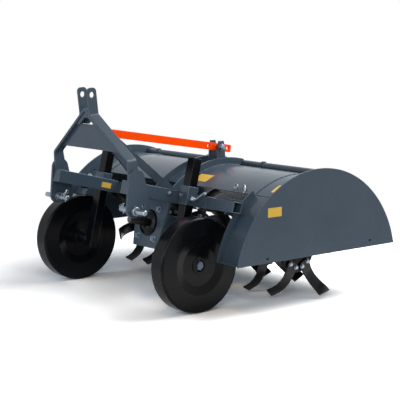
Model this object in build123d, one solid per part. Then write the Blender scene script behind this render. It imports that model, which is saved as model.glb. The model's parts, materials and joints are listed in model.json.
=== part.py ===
from build123d import *
import os
from math import acos, asin, atan2, cos, degrees, hypot, radians, sin, sqrt

os.makedirs("parts", exist_ok=True)

# Rotary tiller for a three-point linkage, millimetres, +Z up, travel towards -Y.
# The origin is on the floor, under the middle of the machine.

# ---- wheels and their posts -------------------------------------------------
WHEEL_R = 200            # outer radius of the steel wheel
WHEEL_W = 80             # width of the wheel
WHEEL_X = 446            # middle plane of each wheel
WHEEL_SHEET = 5          # sheet of the wheel
WHEEL_FACE_R = 124       # inner edge of the flat face ring
WHEEL_DISC_R = 86        # outer edge of the recessed disc
WHEEL_DISC_DEPTH = 9     # recess of the disc below the face ring
WHEEL_EDGE = 10          # rounding of the rim and of the dish
HUB_R = 36
HUB_PROUD = 5            # hub ring above the disc
HUB_POCKET_R = 25        # pocket of the hub nut
HUB_POCKET = 12
HUB_NUT_R = 20           # over the corners
HUB_NUT_T = 10
HUB_BORE_R = 15.05
AXLE_R = 15
AXLE_Y = -350
POST_X = 319             # middle of each post
POST = 45                # width of the post
POST_D = 40              # and its depth
POST_WALL = 4
POST_BOTTOM = -34        # along the post, from the axle
POST_TOP = 438
SLEEVE = 56
SLEEVE_D = 50
SLEEVE_FIT = 0.5         # round the post, each side
SLEEVE_TOP = 317

# ---- pitched frame: its Y runs rearward and down along the drive line --------
PITCH = 14
BEAM_BOTTOM = 237        # in the pitched frame, above the axle
BEAM_H = 50
BEAM_FRONT = 25
BEAM_D = 50
BEAM_WALL = 5
BEAM_HALF = 414          # half length of the deep middle of the beam
BEAM_END = 588           # half length over the slimmer end tubes
END_TUBE = 48
ARM_X = 262              # middle of each hitch arm
ARM_W = 48
ARM_H = 56
ARM_TOP = 290
ARM_FRONT = -292
GEAR_PLATE_Y = 64
GEAR_PLATE_T = 12.5
GEAR_PLATE_LOW = 21
GEAR_PLATE_TOP_HALF = 122
GEAR_PLATE_LOW_HALF = 86
GUARD_R = 60             # rubber guard round the shaft
GEAR_NECK_R = 45         # collar of the gearbox, through the plate

# ---- mast and hitch, upright --------------------------------------------------
HITCH_PLATE_X = 292
HITCH_PLATE_T = 12
LOWER_PIN = (-550, 426)  # y, z
LOWER_PIN_R = 11
LOWER_PIN_L = 176
SPARE_HOLE = (-500, 443)
SPARE_HOLE_R = 9
EAR_X = 35.6
EAR_W = 44
EAR_Y = -575
EAR_TOP = 30             # above the hole's centre
EAR_ROUND = 17
EAR_HOLE_Z = 894
EAR_HOLE_R = 12.75
LEAN = 6.2               # the mast's plane, top towards the front
LEG_T = 10
KNEE_Z = 808             # where the ears bend out into the legs
FOOT_KNEE_Z = 631        # where the legs bend down to the arms
LEG_FOOT_Z = 515
LEG_FOOT_FLARE = 8       # each side, at the foot
BRIDGE_FRONT_LOW = 797   # lower edge of the front web between the legs
BRIDGE_REAR_LOW = 785
WEB_T = 8
MAST_PLATE_TOP = 766
MAST_PLATE_LOW = 661
STAY_TOP = (12.5, -534, 768)
STAY_FOOT = (104, -221, 472)
STAY_W = 34
STAY_T = 10

# ---- hood, end plates and rear board ------------------------------------------
ARC_Y = 137              # centre of every hood arc
ARC_Z = 116
END_R = 470
END_X = 685
END_T = 6
CHORD_Z = 218
HOOD_R = 432
HOOD_T = 3
RIB_R = 465              # centre ribs stand proud of the hood
RIB_X = 60
RIB_T = 8
RIB_DEPTH = 64
END_RIB_R = 459
END_RIB_X = 541
END_RIB_T = 6
LIP_Y = -98
LIP_DROP = 21
TUBE_R = 17
TUBE_Y = 250
TUBE_Z = 544.4
BOARD_T = 4
BOARD_GAP = 8
BOARD_LOW_ANGLE = 14
KNUCKLE_R = 22
KNUCKLES_X = (200, 600)

# ---- rotor and its drive -------------------------------------------------------
ROTOR_Z = 213
TINE_R = 221             # from the axis to the outside of a blade
TIP_LEAD = 2             # the blade's edges at its tip, across the shank's line
TIP_TRAIL = 46
TINE_T = 8
TINE_REACH = 92
TINE_BEND = 50           # radius of the blade's bend, at mid thickness
BOLT_RING_R = 70
TINE_BOLT_PITCH = 36.2   # between the two bolts of one tine
FLANGE_R = 94
FLANGE_T = 10
ROTOR_TUBE_R = 40
ROTOR_TUBE_BORE = 33
ROTOR_SHAFT_R = 25
CASE_HALF = 42
CASE_R = 88
TORQUE_TUBE_R = 50
PTO_R = 17.4
PTO_ROOT_R = 14.7
PTO_TIP = -46
PTO_JOURNAL_R = 22
SPLINES = 6

# ---- brace between mast and hood --------------------------------------------------
BRACE_T = 10
BRACE_H = 35
BRACE_PIN_FRONT = (-530, 735)   # y, z
BRACE_PIN_REAR = (139, 625)
BRACE_NOSE = 17          # length of bar in front of the front pin
BRACE_TAIL = 82          # and behind the rear pin
BRACE_PIN_R = 8
LUG_X = 30
LUG_T = 8

SIDES = (("left", -1), ("right", 1))

pitched = Location((0, AXLE_Y, WHEEL_R), (-PITCH, 0, 0))


def to_pitched(y, z):
    """The pitched frame's (y, z) of an upright (y, z)."""
    dy = y - AXLE_Y
    dz = z - WHEEL_R
    c = cos(radians(PITCH))
    s = sin(radians(PITCH))
    return dy * c - dz * s, dy * s + dz * c


ROTOR_PY, DRIVE_Z = to_pitched(ARC_Y, ROTOR_Z)


# ---- small helpers --------------------------------------------------------------

def block(x0, x1, y0, y1, z0, z1):
    """Box between two corners."""
    centre = Pos((x0 + x1) / 2, (y0 + y1) / 2, (z0 + z1) / 2)
    return centre * Box(x1 - x0, y1 - y0, z1 - z0)


def across(outline, x0, x1):
    """Extrude a (y, z) outline from x0 to x1."""
    return Pos(x0, 0, 0) * extrude(Plane.YZ * outline, x1 - x0)


def along(outline, y0, y1):
    """Extrude an (x, z) outline from y0 to y1."""
    return Pos(0, y1, 0) * extrude(Plane.XZ * outline, y1 - y0)


def rod_x(radius, x0, x1, y=0, z=0):
    """Round bar along X."""
    return Pos((x0 + x1) / 2, y, z) * Rot(0, 90, 0) * Cylinder(radius, x1 - x0)


def rod_y(radius, y0, y1, x=0, z=0):
    """Round bar along Y."""
    return Pos(x, (y0 + y1) / 2, z) * Rot(90, 0, 0) * Cylinder(radius, y1 - y0)


def polygon(*points):
    return make_face(Polyline(*points, close=True))


def arc_strip(r_in, r_out, a0, a1):
    """(y, z) ring sector about the hood centre, angles up from the rear."""
    outer = CenterArc((0, 0), r_out, a0, a1 - a0)
    inner = CenterArc((0, 0), r_in, a0, a1 - a0)
    ends = [Line(inner @ 0, outer @ 0), Line(inner @ 1, outer @ 1)]
    return Pos(ARC_Y, ARC_Z) * make_face([outer, inner] + ends)


def arc_angle(r, y):
    """Angle of the point of an arc of radius r that lies over y."""
    return degrees(acos((y - ARC_Y) / r))


def mirrored(shape, side):
    """The shape as built on the +X side, or its mirror image."""
    return shape if side > 0 else mirror(shape, Plane.YZ)


def save(name, shape):
    solids = shape.solids()
    whole = solids[0] if len(solids) == 1 else Compound(children=list(solids))
    whole.label = name
    export_step(whole, f"parts/{name}.step")


# ---- wheels, axles and posts ------------------------------------------------------

def wheel():
    """Closed steel drum about X, both faces dished, outer face at +WHEEL_W / 2."""
    half = WHEEL_W / 2
    disc = half - WHEEL_DISC_DEPTH
    outer = dished_profile(half, disc, WHEEL_R, WHEEL_EDGE)
    inner = dished_profile(half - WHEEL_SHEET, disc - WHEEL_SHEET, WHEEL_R - WHEEL_SHEET,
                           WHEEL_EDGE - WHEEL_SHEET)
    drum = revolve(Plane.XY * outer, Axis.X) - revolve(Plane.XY * inner, Axis.X)
    ring = rod_x(HUB_R, -half - 6, disc + HUB_PROUD)
    ring = chamfer(ring.edges().filter_by(GeomType.CIRCLE), 1.5)
    pocket = rod_x(HUB_POCKET_R, disc + HUB_PROUD - HUB_POCKET, half)
    return drum + ring - pocket - rod_x(HUB_BORE_R, -half - 10, half)


def dished_profile(face, disc, rim, edge):
    """(x, radius) half section of a drum with a dish in both faces."""
    line = FilletPolyline(
        (disc, 0), (disc, WHEEL_DISC_R), (face, WHEEL_FACE_R), (face, rim),
        (-face, rim), (-face, WHEEL_FACE_R), (-disc, WHEEL_DISC_R), (-disc, 0), radius=edge,
    )
    return make_face([line, Line(line @ 1, line @ 0)])


def build_running_gear():
    for name, side in SIDES:
        centre = Pos(side * WHEEL_X, AXLE_Y, WHEEL_R)
        save(f"{name}_wheel", centre * mirrored(wheel(), side))

        half = POST / 2
        deep = POST_D / 2
        post = block(POST_X - half, POST_X + half, -deep, deep, POST_BOTTOM, POST_TOP)
        hollow = half - POST_WALL
        post -= block(POST_X - hollow, POST_X + hollow, -deep + POST_WALL, deep - POST_WALL,
                      POST_BOTTOM - 1, POST_TOP - POST_WALL)
        axle_start = POST_X - hollow
        post -= rod_x(AXLE_R, axle_start, POST_X + half + 1)
        save(f"{name}_post", pitched * mirrored(post, side))

        hub_in = WHEEL_X - WHEEL_W / 2 - 6
        seat = WHEEL_X + WHEEL_W / 2 - WHEEL_DISC_DEPTH + HUB_PROUD - HUB_POCKET
        axle = rod_x(AXLE_R, axle_start, seat + HUB_NUT_T + 5)
        axle += rod_x(AXLE_R + 9, POST_X + half, hub_in - 1)
        nut_plane = Plane.YZ.offset(seat + 1)
        axle += extrude(nut_plane * RegularPolygon(HUB_NUT_R, 6), HUB_NUT_T)
        save(f"{name}_axle", pitched * mirrored(axle, side))

        outer = SLEEVE / 2
        bore = half + SLEEVE_FIT
        bore_deep = deep + SLEEVE_FIT
        sleeve = block(POST_X - outer, POST_X + outer, -SLEEVE_D / 2, SLEEVE_D / 2,
                       BEAM_BOTTOM, SLEEVE_TOP)
        sleeve -= block(POST_X - bore, POST_X + bore, -bore_deep, bore_deep,
                        BEAM_BOTTOM - 1, SLEEVE_TOP + 1)
        save(f"{name}_sleeve", pitched * mirrored(sleeve, side))


# ---- beam, arms and gearbox plate ---------------------------------------------------

def square_tube(x0, x1, y0, y1, z0, z1, wall):
    outer = block(x0, x1, y0, y1, z0, z1)
    return outer - block(x0 - 1, x1 + 1, y0 + wall, y1 - wall, z0 + wall, z1 - wall)


def build_beam():
    y1 = BEAM_FRONT + BEAM_D
    z1 = BEAM_BOTTOM + BEAM_H
    beam = square_tube(-BEAM_HALF, BEAM_HALF, BEAM_FRONT, y1, BEAM_BOTTOM, z1, BEAM_WALL)
    save("main_beam", pitched * beam)

    inset = (BEAM_H - END_TUBE) / 2
    ends = []
    for _, side in SIDES:
        end = square_tube(BEAM_HALF, BEAM_END, BEAM_FRONT + inset, y1 - inset,
                          BEAM_BOTTOM + inset, z1 - inset, BEAM_WALL)
        ends.append(mirrored(end, side))
    save("beam_ends", pitched * Compound(children=ends))

    for name, side in SIDES:
        save(f"{name}_arm", pitched * mirrored(hitch_arm(), side))


def hitch_arm():
    top = ARM_TOP
    half = ARM_W / 2
    tube = block(ARM_X - half, ARM_X + half, ARM_FRONT, BEAM_FRONT, top - ARM_H, top)
    hollow = half - BEAM_WALL
    return tube - block(ARM_X - hollow, ARM_X + hollow, ARM_FRONT + BEAM_WALL, BEAM_FRONT + 1,
                        top - ARM_H + BEAM_WALL, top - BEAM_WALL)


def build_gear_plate():
    outline = polygon(
        (-GEAR_PLATE_TOP_HALF, BEAM_BOTTOM), (GEAR_PLATE_TOP_HALF, BEAM_BOTTOM),
        (GEAR_PLATE_LOW_HALF, GEAR_PLATE_LOW), (-GEAR_PLATE_LOW_HALF, GEAR_PLATE_LOW),
    )
    plate = along(outline, GEAR_PLATE_Y, GEAR_PLATE_Y + GEAR_PLATE_T)
    plate -= rod_y(GEAR_NECK_R + 1, GEAR_PLATE_Y - 1, GEAR_PLATE_Y + GEAR_PLATE_T + 1, 0, DRIVE_Z)
    save("gearbox_plate", pitched * plate)


# ---- drive ------------------------------------------------------------------------

def build_drive():
    back = GEAR_PLATE_Y + GEAR_PLATE_T
    axis = Pos(0, 0, DRIVE_Z)
    guard = axis * turned_y([(GEAR_PLATE_Y - 14, 24), (GEAR_PLATE_Y - 14, 40),
                             (GEAR_PLATE_Y - 8, GUARD_R - 4), (GEAR_PLATE_Y, GUARD_R),
                             (GEAR_PLATE_Y, 24)])
    save("shaft_guard", pitched * guard)

    flange = block(-82, 82, back, back + 18, -84, 84)
    flange = fillet(flange.edges().filter_by(Axis.Y), 22)
    cone = turned_y([(back + 18, 0), (back + 18, 74), (back + 90, TORQUE_TUBE_R + 4),
                     (back + 90, 0)])
    tube = rod_y(TORQUE_TUBE_R, back + 90, ROTOR_PY - 60)
    neck = rod_y(GEAR_NECK_R, GEAR_PLATE_Y, back + 1)
    bore = rod_y(PTO_JOURNAL_R + 0.05, GEAR_PLATE_Y - 1, back + 61)
    gearbox = axis * (flange + cone + tube + neck - bore)
    case = rod_x(CASE_R, -CASE_HALF, CASE_HALF, ROTOR_PY, DRIVE_Z)
    case -= rod_x(ROTOR_SHAFT_R + 0.05, -CASE_HALF - 1, CASE_HALF + 1, ROTOR_PY, DRIVE_Z)
    case = chamfer(case.edges().filter_by(GeomType.CIRCLE).sort_by(SortBy.RADIUS)[-2:], 10)
    gearbox -= rod_x(CASE_R, -CASE_R, CASE_R, ROTOR_PY, DRIVE_Z)
    save("gearbox", pitched * gearbox)
    save("rotor_case", pitched * case)

    shaft = rod_y(PTO_ROOT_R, PTO_TIP, GEAR_PLATE_Y - 6)
    for i in range(SPLINES):
        spline = block(-4.4, 4.4, PTO_TIP + 3, GEAR_PLATE_Y - 6, PTO_ROOT_R - 3, PTO_R)
        shaft += Rot(0, i * 360 / SPLINES, 0) * spline
    shaft += rod_y(PTO_JOURNAL_R, GEAR_PLATE_Y - 6, back + 60)
    save("pto_shaft", pitched * (axis * shaft))


def turned_y(points):
    """Body turned about Y from (y, radius) points."""
    section = polygon(*[(radius, y) for y, radius in points])
    return revolve(Plane.XY * section, Axis.Y)


# ---- mast and hitch -----------------------------------------------------------------

mast_plane = Location((0, EAR_Y, EAR_HOLE_Z), (LEAN, 0, 0))


def mast_z(z):
    """Distance along the leaning mast of an upright height, from the ear holes."""
    return (z - EAR_HOLE_Z) / cos(radians(LEAN))


KNEE = mast_z(KNEE_Z)
FOOT_KNEE = mast_z(FOOT_KNEE_Z)
FOOT_X = HITCH_PLATE_X - HITCH_PLATE_T / 2 - LEG_T / 2
LEG_SLOPE = (FOOT_X - EAR_X) / (KNEE - FOOT_KNEE)


def leg_half_width(z):
    """Middle of a leg at a distance along the mast, between its two bends."""
    return EAR_X + LEG_SLOPE * (KNEE - z)


def mast_leg(arm):
    """One ear, bent out into its leg and down again to the hitch arm."""
    half = EAR_W / 2
    foot = mast_z(LEG_FOOT_Z)
    flare = half + LEG_FOOT_FLARE
    line = FilletPolyline((EAR_X, EAR_TOP), (EAR_X, KNEE), (FOOT_X, FOOT_KNEE), (FOOT_X, foot),
                          radius=18)
    bar = along(trace(line, LEG_T), -flare, flare)
    ear = FilletPolyline((-half, 0), (-half, EAR_TOP), (half, EAR_TOP), (half, 0), radius=EAR_ROUND)
    side = make_face([ear, Line(ear @ 1, ear @ 0)])
    side += polygon((-half, 0), (half, 0), (half, FOOT_KNEE), (flare, foot), (-flare, foot),
                    (-half, FOOT_KNEE))
    leg = bar & across(side, 0, 400)
    leg -= rod_x(EAR_HOLE_R, 0, 100)
    return keep_largest(mast_plane * leg - arm)


def keep_largest(shape):
    return shape.solids().sort_by(SortBy.VOLUME)[-1]


def mast_plate():
    """Trapezoid between the legs, in the middle of their width."""
    top = mast_z(MAST_PLATE_TOP)
    low = mast_z(MAST_PLATE_LOW)
    front = polygon((-leg_half_width(top), top), (leg_half_width(top), top),
                    (leg_half_width(low), low), (-leg_half_width(low), low))
    return mast_plane * along(front, -WEB_T / 2, WEB_T / 2)


def mast_bridge():
    """The legs' bars run on to meet between the ears, over two chevron webs."""
    peak = KNEE + EAR_X / LEG_SLOPE
    rise = LEG_T / 2 / sin(atan2(LEG_SLOPE, 1))
    reach = leg_half_width(mast_z(MAST_PLATE_TOP))
    foot = peak - reach / LEG_SLOPE
    bars = polygon((0, peak + rise), (EAR_X, KNEE + rise), (EAR_X, KNEE - rise), (0, peak - rise),
                   (-EAR_X, KNEE - rise), (-EAR_X, KNEE + rise))
    bridge = along(bars, -EAR_W / 2, EAR_W / 2)
    flat = 14
    low = mast_z(BRIDGE_FRONT_LOW)
    spread = flat + LEG_SLOPE * (low - foot)
    front_web = polygon((0, peak), (reach, foot), (spread, foot), (flat, low), (-flat, low),
                        (-spread, foot), (-reach, foot))
    low = mast_z(BRIDGE_REAR_LOW)
    spread = LEG_SLOPE * (low - foot)
    rear_web = polygon((0, peak), (reach, foot), (spread, foot), (0, low), (-spread, foot),
                       (-reach, foot))
    bridge += along(front_web, -EAR_W / 2 + 6, -EAR_W / 2 + 6 + WEB_T)
    bridge += along(rear_web, WEB_T, 2 * WEB_T)
    return mast_plane * bridge


def stay(obstacles):
    """Flat bar from the back of a leg down to the top of the beam."""
    start = Vector(*STAY_TOP)
    run = Vector(*STAY_FOOT) - start
    direction = run.normalized()
    level = direction.cross(Vector(0, 0, 1)).normalized()
    section = Plane(origin=start, x_dir=level, z_dir=direction) * Rectangle(STAY_T, STAY_W)
    bar = extrude(section, run.length + 60)
    for other in obstacles:
        bar -= other
    return keep_largest(bar)


def hitch_plate():
    rounds = ((-533, 556, 40), (-550, 430, 34), (-501, 440, 34))
    circles = [Pos(y, z) * Circle(r) for y, z, r in rounds]
    outline = make_hull([edge for circle in circles for edge in circle.edges()])
    half = HITCH_PLATE_T / 2
    plate = across(outline, HITCH_PLATE_X - half, HITCH_PLATE_X + half)
    plate -= rod_x(LOWER_PIN_R, 200, 400, *LOWER_PIN)
    return plate - rod_x(SPARE_HOLE_R, 200, 400, *SPARE_HOLE)


def lower_pin():
    half = LOWER_PIN_L / 2
    plate = HITCH_PLATE_T / 2
    pin = rod_x(LOWER_PIN_R, -half, half)
    pin = chamfer(pin.edges().filter_by(GeomType.CIRCLE), 3)
    pin += rod_x(LOWER_PIN_R + 8, plate, plate + 9)
    pin += rod_x(LOWER_PIN_R + 8, -plate - 9, -plate)
    return Pos(HITCH_PLATE_X, *LOWER_PIN) * pin


def build_mast():
    arm = pitched * hitch_arm()
    beam_rear = BEAM_FRONT + BEAM_D
    beam_block = pitched * block(-BEAM_HALF, BEAM_HALF, BEAM_FRONT, beam_rear, 0,
                                 BEAM_BOTTOM + BEAM_H)
    behind_beam = pitched * block(-BEAM_HALF, BEAM_HALF, beam_rear - 2, beam_rear + 200, 0, 600)
    leg = mast_leg(arm)
    plate = mast_plate()
    bridge = mast_bridge()
    for _, side in SIDES:
        plate -= mirrored(leg, side)
        bridge -= mirrored(leg, side)
    plate = keep_largest(plate)
    bridge = keep_largest(bridge - plate)
    save("mast_plate", plate)
    save("mast_bridge", bridge)
    front_pin = rod_x(BRACE_PIN_R, 0, 100, *BRACE_PIN_FRONT)
    rear_stay = stay([leg, plate, bridge, beam_block, behind_beam, front_pin])
    for name, side in SIDES:
        save(f"{name}_leg", mirrored(leg, side))
        save(f"{name}_stay", mirrored(rear_stay, side))
        save(f"{name}_hitch_plate", mirrored(hitch_plate(), side))
        save(f"{name}_lower_pin", mirrored(lower_pin(), side))
    return plate, rear_stay


# ---- brace ----------------------------------------------------------------------------

def build_brace(plate, rear_stay):
    front = Vector(0, *BRACE_PIN_FRONT)
    rear = Vector(0, *BRACE_PIN_REAR)
    run = rear - front
    direction = run.normalized()
    line = Plane(origin=front, x_dir=direction, z_dir=(1, 0, 0))
    length = run.length + BRACE_NOSE + BRACE_TAIL
    middle = (run.length + BRACE_TAIL - BRACE_NOSE) / 2
    outline = Pos(middle, 0) * RectangleRounded(length, BRACE_H, 7)
    holes = Pos(0, 0) * Circle(BRACE_PIN_R)
    for distance in (run.length - 54, run.length, run.length + 62):
        holes += Pos(distance, 0) * Circle(BRACE_PIN_R)
    bar = extrude(line * (outline - holes), BRACE_T / 2, both=True)
    save("brace_bar", bar)

    lug_low = ARC_Z + sqrt((HOOD_R - 2) ** 2 - (BRACE_PIN_REAR[0] - ARC_Y) ** 2) - 6
    y, z = BRACE_PIN_REAR
    lug = polygon((y - 26, lug_low), (y + 26, lug_low), (y + 20, z), (y + 14, z + 30),
                  (y - 14, z + 30), (y - 20, z))
    hood_round = rod_x(HOOD_R, -100, 100, ARC_Y, ARC_Z)
    rear_lugs = []
    for _, side in SIDES:
        ear = across(lug, LUG_X - LUG_T / 2, LUG_X + LUG_T / 2)
        ear -= rod_x(BRACE_PIN_R, 0, 100, y, z)
        rear_lugs.append(mirrored(ear - hood_round, side))
    save("brace_lugs", Compound(children=rear_lugs))

    y, z = BRACE_PIN_FRONT
    cheek = polygon((y - 60, z - 26), (y + 8, z - 18), (y + 18, z), (y + 8, z + 18),
                    (y - 60, z + 26))
    cheeks = []
    for _, side in SIDES:
        ear = across(cheek, 8, 16) - rod_x(BRACE_PIN_R, 0, 100, y, z) - plate - rear_stay
        cheeks.append(mirrored(keep_hinge(ear), side))
    save("mast_cheeks", Compound(children=cheeks))

    front_pin = rod_x(BRACE_PIN_R, -24, 24, *BRACE_PIN_FRONT)
    rear_pin = rod_x(BRACE_PIN_R, -LUG_X - 14, LUG_X + 14, *BRACE_PIN_REAR)
    for side in (-1, 1):
        inner = BRACE_T / 2
        outer = LUG_X - LUG_T / 2
        rear_pin += rod_x(BRACE_PIN_R + 5, min(side * inner, side * outer),
                          max(side * inner, side * outer), *BRACE_PIN_REAR)
    save("brace_pins", Compound(children=[front_pin, rear_pin]))


def keep_hinge(shape):
    """The solid nearest to the front pin."""
    pin = Vector(12, *BRACE_PIN_FRONT)
    return min(shape.solids(), key=lambda solid: (solid.center() - pin).length)


# ---- hood --------------------------------------------------------------------------------

def end_plate():
    start = degrees(asin((CHORD_Z - ARC_Z) / END_R))
    rim = CenterArc((0, 0), END_R, start, 180 - 2 * start)
    outline = Pos(ARC_Y, ARC_Z) * make_face([rim, Line(rim @ 0, rim @ 1)])
    plate = across(outline, END_X - END_T / 2, END_X + END_T / 2)
    for y, z in ((444, 246), (-162, 237)):
        plate -= rod_x(7, END_X - 10, END_X + 10, y, z)
    return plate


def build_hood():
    inner = END_X - END_T / 2
    front_angle = arc_angle(HOOD_R, LIP_Y)
    rear_angle = arc_angle(HOOD_R, TUBE_Y - 8)
    lip_top = ARC_Z + sqrt(HOOD_R ** 2 - (LIP_Y - ARC_Y) ** 2) - 1
    sheet = arc_strip(HOOD_R - HOOD_T, HOOD_R, rear_angle, front_angle)
    lip = polygon((LIP_Y - HOOD_T, lip_top - LIP_DROP), (LIP_Y, lip_top - LIP_DROP),
                  (LIP_Y, lip_top), (LIP_Y - HOOD_T, lip_top - 2))
    section = sheet + lip
    tube_space = rod_x(TUBE_R, -900, 900, TUBE_Y, TUBE_Z)
    panel = across(section, RIB_X + RIB_T / 2, inner) - tube_space
    for x in KNUCKLES_X:
        panel -= rod_x(KNUCKLE_R + 5, x - 10, x + 10, TUBE_Y, TUBE_Z)
    for name, side in SIDES:
        save(f"{name}_hood", mirrored(keep_largest(panel), side))
    middle = across(section, -RIB_X + RIB_T / 2, RIB_X - RIB_T / 2) - tube_space
    save("centre_hood", keep_largest(middle))

    tube = rod_x(TUBE_R, -inner, inner, TUBE_Y, TUBE_Z)
    tube -= rod_x(TUBE_R - 4, -inner - 1, inner + 1, TUBE_Y, TUBE_Z)
    save("rear_tube", tube)

    rib_front = arc_angle(RIB_R, -195)
    rib_rear = arc_angle(RIB_R, TUBE_Y)
    rib_strip = arc_strip(RIB_R - RIB_DEPTH, RIB_R, rib_rear, rib_front)
    rib = across(rib_strip, RIB_X - RIB_T / 2, RIB_X + RIB_T / 2) - tube_space
    beam_block = pitched * block(-BEAM_HALF, BEAM_HALF, BEAM_FRONT, BEAM_FRONT + BEAM_D, 0, 600)
    rib = keep_largest(rib - beam_block)
    centre_ribs = [mirrored(rib, side) for _, side in SIDES]
    save("centre_ribs", Compound(children=centre_ribs))

    chord_angle = 180 - degrees(asin((CHORD_Z - ARC_Z) / HOOD_R))
    band = arc_strip(HOOD_R - HOOD_T, HOOD_R, front_angle + 0.5, chord_angle)
    sill_front = ARC_Y - sqrt(END_RIB_R ** 2 - (CHORD_Z - ARC_Z) ** 2) + 1
    sill_rear = ARC_Y - sqrt(HOOD_R ** 2 - (CHORD_Z - ARC_Z) ** 2) + 6
    sill = polygon((sill_front, CHORD_Z), (sill_rear, CHORD_Z), (sill_rear, CHORD_Z + HOOD_T),
                   (sill_front, CHORD_Z + HOOD_T))
    band = across(band + sill, END_RIB_X + END_RIB_T / 2, inner)
    rib_end = 180 - degrees(asin((CHORD_Z - ARC_Z) / END_RIB_R))
    arc_rib = arc_strip(END_RIB_R - 60, END_RIB_R, front_angle + 0.5, rib_end)
    end_rib = across(arc_rib, END_RIB_X - END_RIB_T / 2, END_RIB_X + END_RIB_T / 2)
    seat = block(END_RIB_X - END_RIB_T / 2, END_RIB_X + END_RIB_T / 2, BEAM_FRONT + 3,
                 BEAM_FRONT + BEAM_D + 60, BEAM_BOTTOM - 8, BEAM_BOTTOM + BEAM_H + 8)
    end_rib += pitched * seat
    inset = (BEAM_H - END_TUBE) / 2
    end_rib -= pitched * block(BEAM_HALF, BEAM_END, BEAM_FRONT + inset, BEAM_FRONT + BEAM_D - inset,
                               BEAM_BOTTOM + inset, BEAM_BOTTOM + BEAM_H - inset)
    for name, side in SIDES:
        save(f"{name}_end_plate", mirrored(end_plate(), side))
        save(f"{name}_end_band", mirrored(band - panel, side))
        save(f"{name}_end_rib", mirrored(keep_largest(end_rib - panel), side))


def build_rear_board():
    """Curved board hung on the rear tube by four knuckles."""
    half = END_X - END_T / 2 - BOARD_GAP
    top_angle = arc_angle(HOOD_R, TUBE_Y + TUBE_R + 8)
    sheet = across(arc_strip(HOOD_R - BOARD_T, HOOD_R, BOARD_LOW_ANGLE, top_angle), -half, half)
    a = radians(BOARD_LOW_ANGLE)
    low_y = ARC_Y + (HOOD_R - BOARD_T) * cos(a)
    low_z = ARC_Z + HOOD_R * sin(a)
    hem = block(-half, half, low_y - 26, low_y + 2, low_z - 2, low_z + 2)
    board = sheet + hem
    knuckle = Pos(TUBE_Y, TUBE_Z) * Circle(KNUCKLE_R)
    knuckle += arc_strip(HOOD_R - 22, HOOD_R - 1, top_angle - 8, arc_angle(HOOD_R, TUBE_Y + 10))
    knuckle -= Pos(TUBE_Y, TUBE_Z) * Circle(TUBE_R + 0.4)
    for x in KNUCKLES_X:
        for side in (-1, 1):
            board += across(knuckle, side * x - 5, side * x + 5)
    save("rear_board", keep_largest(board))


# ---- rotor --------------------------------------------------------------------------------

TINES_PER_FLANGE = 6
TINE_STEP = 360 / TINES_PER_FLANGE


def parked_angles():
    """First-tine angles at which a blade behind, or ahead of, the axis just meets the floor."""
    trail_r = hypot(TINE_R, TIP_TRAIL)
    lead_r = hypot(TINE_R, TIP_LEAD)
    behind = degrees(acos(ROTOR_Z / trail_r)) + degrees(atan2(TIP_TRAIL, TINE_R))
    ahead = TINE_STEP - degrees(acos(ROTOR_Z / lead_r)) - degrees(atan2(TIP_LEAD, TINE_R))
    return behind, ahead


BEHIND, AHEAD = parked_angles()
LIFTED = (BEHIND + AHEAD) / 2

# flange x, angle of its first tine from straight down
FLANGES = ((545, BEHIND), (345, AHEAD), (145, LIFTED), (-145, LIFTED), (-345, BEHIND), (-545, AHEAD))


def tine(bend):
    """One blade: root at the shaft, tip down, bent towards +X or -X."""
    mid_r = TINE_R - TINE_T / 2
    straight = TINE_REACH - TINE_BEND
    path = FilletPolyline((0, -30), (0, -mid_r), (bend * TINE_REACH, -mid_r), radius=TINE_BEND)
    profile = trace(path, TINE_T)
    solid = along(profile, -90, 90)

    root = Pos(0, -sqrt(BOLT_RING_R ** 2 - (TINE_BOLT_PITCH / 2) ** 2)) * SlotCenterToCenter(
        TINE_BOLT_PITCH, 28)
    lead = ThreePointArc((26, -66), (22, -150), (TIP_LEAD, -TINE_R))
    trail = ThreePointArc((-24, -66), (-24, -150), (-TIP_TRAIL, -TINE_R))
    tip = Polyline(lead @ 1, (TIP_LEAD, -TINE_R - 5), (-TIP_TRAIL, -TINE_R - 5), trail @ 1)
    shank = make_face([lead, trail, Line(lead @ 0, trail @ 0), tip])
    blade = solid & across(root + shank, -TINE_REACH - 10, TINE_REACH + 10)
    corner = Plane.XY * polygon((bend * TINE_REACH, 30), (bend * TINE_REACH, -18),
                                (bend * straight, 30))
    return keep_largest(blade - extrude(corner, -300))


def build_rotor():
    centre = Pos(0, ARC_Y, ROTOR_Z)
    shaft = rod_x(ROTOR_SHAFT_R, -CASE_HALF - 20, CASE_HALF + 20)
    end = FLANGES[0][0] + FLANGE_T / 2 + 6
    for _, side in SIDES:
        x0 = CASE_HALF + 5
        tube = rod_x(ROTOR_TUBE_R, x0, end) - rod_x(ROTOR_TUBE_BORE, x0 + 15, end - 12)
        shaft += mirrored(tube, side)
    save("rotor_shaft", centre * shaft)

    discs = []
    for x, _ in FLANGES:
        disc = rod_x(FLANGE_R, x - FLANGE_T / 2, x + FLANGE_T / 2)
        discs.append(centre * (disc - rod_x(ROTOR_TUBE_R, x - 20, x + 20)))
    save("rotor_flanges", Compound(children=discs))

    blades = {1: tine(1), -1: tine(-1)}
    for number, (x, first) in enumerate(FLANGES, start=1):
        outward = 1 if x > 0 else -1
        face = x + outward * (FLANGE_T + TINE_T) / 2
        row = []
        for i in range(TINES_PER_FLANGE):
            bend = 1 if i % 2 == 0 else -1
            turn = first + i * TINE_STEP
            row.append(centre * Pos(face, 0, 0) * Rot(turn, 0, 0) * blades[bend])
        save(f"tines_{number}", Compound(children=row))


build_running_gear()
build_beam()
build_gear_plate()
build_drive()
build_brace(*build_mast())
build_hood()
build_rear_board()
build_rotor()
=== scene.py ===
import json
from math import ceil, cos, hypot, pi, radians, sin

import bmesh
import bpy
from mathutils import Matrix, Vector


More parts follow.
